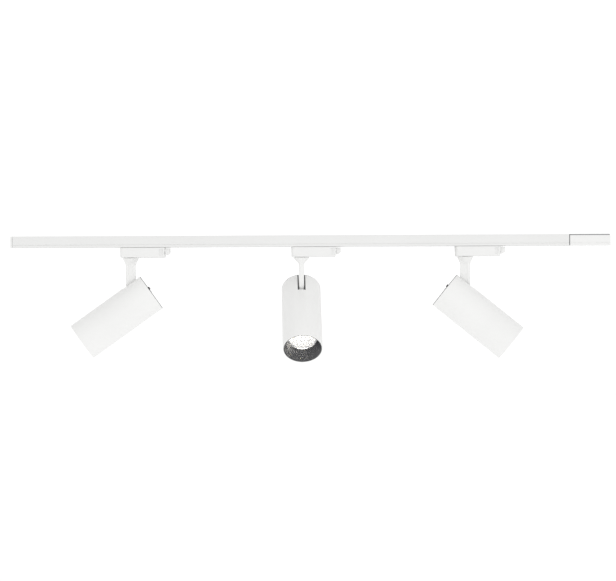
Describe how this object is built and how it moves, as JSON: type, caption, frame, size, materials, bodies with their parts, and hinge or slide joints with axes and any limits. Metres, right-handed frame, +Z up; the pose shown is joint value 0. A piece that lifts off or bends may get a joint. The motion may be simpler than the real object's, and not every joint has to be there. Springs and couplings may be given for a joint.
{
  "type": "track lighting fixture",
  "caption": "Ceiling track light: straight surface track with a live-end feed and cylindrical spotlights that slide, pan and tilt on twist-in adapters.",
  "frame": {"origin": "middle of the track's top face, which lies against the ceiling", "axes": "+Z up into the ceiling, +X along the track towards the live-end feed, -Y towards the viewer"},
  "size_m": [1.0792, 0.1588, 0.2274],
  "materials": {
    "white_paint": "satin powder coat",
    "white_plastic": "fine matt",
    "dark_plastic": "matt",
    "black_baffle": "fine grained matt",
    "grey_plastic": "extruded",
    "copper": "bare copper",
    "brass": "stamped",
    "steel": "zinc plated",
    "aluminium": "die cast",
    "mirror_finish": "metallised facets",
    "light_source": "phosphor disc on a white board"
  },
  "bodies": {
    "rail": {"track_rail": "white_paint", "front_insulator": "grey_plastic", "rear_insulator": "grey_plastic", "live_conductor": "copper", "neutral_conductor": "copper", "end_cap": "white_plastic", "feed_housing": "white_plastic", "feed_base": "dark_plastic", "feed_terminal_block": "grey_plastic", "feed_contacts": "brass", "rail_screws": "steel"},
    "left_adapter": {"left_adapter_body": "white_plastic", "left_adapter_cover": "white_plastic", "left_adapter_contacts": "brass", "left_latch_spring": "steel"},
    "left_latch": {"left_lock_tab": "white_plastic"},
    "left_arm": {"left_swivel_collar": "white_paint", "left_swivel_nut": "steel", "left_support_arm": "white_paint"},
    "left_head": {"left_pivot_pin": "steel", "left_head_tube": "white_paint", "left_rear_cap": "dark_plastic", "left_heat_sink": "aluminium", "left_led_module": "light_source", "left_led_driver": "white_plastic", "left_reflector": "mirror_finish", "left_baffle_ring": "black_baffle"},
    "centre_adapter": {"centre_adapter_body": "white_plastic", "centre_adapter_cover": "white_plastic", "centre_adapter_contacts": "brass", "centre_latch_spring": "steel"},
    "centre_latch": {"centre_lock_tab": "white_plastic"},
    "centre_arm": {"centre_swivel_collar": "white_paint", "centre_swivel_nut": "steel", "centre_support_arm": "white_paint"},
    "centre_head": {"centre_pivot_pin": "steel", "centre_head_tube": "white_paint", "centre_rear_cap": "dark_plastic", "centre_heat_sink": "aluminium", "centre_led_module": "light_source", "centre_led_driver": "white_plastic", "centre_reflector": "mirror_finish", "centre_baffle_ring": "black_baffle"},
    "right_adapter": {"right_adapter_body": "white_plastic", "right_adapter_cover": "white_plastic", "right_adapter_contacts": "brass", "right_latch_spring": "steel"},
    "right_latch": {"right_lock_tab": "white_plastic"},
    "right_arm": {"right_swivel_collar": "white_paint", "right_swivel_nut": "steel", "right_support_arm": "white_paint"},
    "right_head": {"right_pivot_pin": "steel", "right_head_tube": "white_paint", "right_rear_cap": "dark_plastic", "right_heat_sink": "aluminium", "right_led_module": "light_source", "right_led_driver": "white_plastic", "right_reflector": "mirror_finish", "right_baffle_ring": "black_baffle"}
  },
  "joints": [
    {"name": "left_track_slide", "type": "slide", "parent": "rail", "child": "left_adapter", "axis": [1, 0, 0], "range_m": [-0.19, 0.1]},
    {"name": "left_latch_pull", "type": "slide", "parent": "left_adapter", "child": "left_latch", "axis": [0, 0, -1], "range_m": [0, 0.0035], "stiffness_N_per_m": 600, "springref_m": -0.003, "deforming": ["left_latch_spring"]},
    {"name": "left_pan", "type": "hinge", "parent": "left_adapter", "child": "left_arm", "pos_m": [-0.289, 0, -0.045], "axis": [0, 0, 1], "range_deg": [-175, 175]},
    {"name": "left_tilt", "type": "hinge", "parent": "left_arm", "child": "left_head", "pos_m": [-0.289, 0, -0.1009], "axis": [-0.0872, 0.9962, 0], "range_deg": [-54.5, 35.5]},
    {"name": "centre_track_slide", "type": "slide", "parent": "rail", "child": "centre_adapter", "axis": [1, 0, 0], "range_m": [-0.1, 0.1]},
    {"name": "centre_latch_pull", "type": "slide", "parent": "centre_adapter", "child": "centre_latch", "axis": [0, 0, -1], "range_m": [0, 0.0035], "stiffness_N_per_m": 600, "springref_m": -0.003, "deforming": ["centre_latch_spring"]},
    {"name": "centre_pan", "type": "hinge", "parent": "centre_adapter", "child": "centre_arm", "pos_m": [0.0188, 0, -0.045], "axis": [0, 0, 1], "range_deg": [-175, 175]},
    {"name": "centre_tilt", "type": "hinge", "parent": "centre_arm", "child": "centre_head", "pos_m": [0.0188, 0, -0.1009], "axis": [-0.9997, -0.0262, 0], "range_deg": [-46, 44]},
    {"name": "right_track_slide", "type": "slide", "parent": "rail", "child": "right_adapter", "axis": [1, 0, 0], "range_m": [-0.1, 0.115]},
    {"name": "right_latch_pull", "type": "slide", "parent": "right_adapter", "child": "right_latch", "axis": [0, 0, -1], "range_m": [0, 0.0035], "stiffness_N_per_m": 600, "springref_m": -0.003, "deforming": ["right_latch_spring"]},
    {"name": "right_pan", "type": "hinge", "parent": "right_adapter", "child": "right_arm", "pos_m": [0.3142, 0, -0.045], "axis": [0, 0, 1], "range_deg": [-175, 175]},
    {"name": "right_tilt", "type": "hinge", "parent": "right_arm", "child": "right_head", "pos_m": [0.3142, 0, -0.1009], "axis": [-0.0872, -0.9962, 0], "range_deg": [-51, 39]}
  ]
}
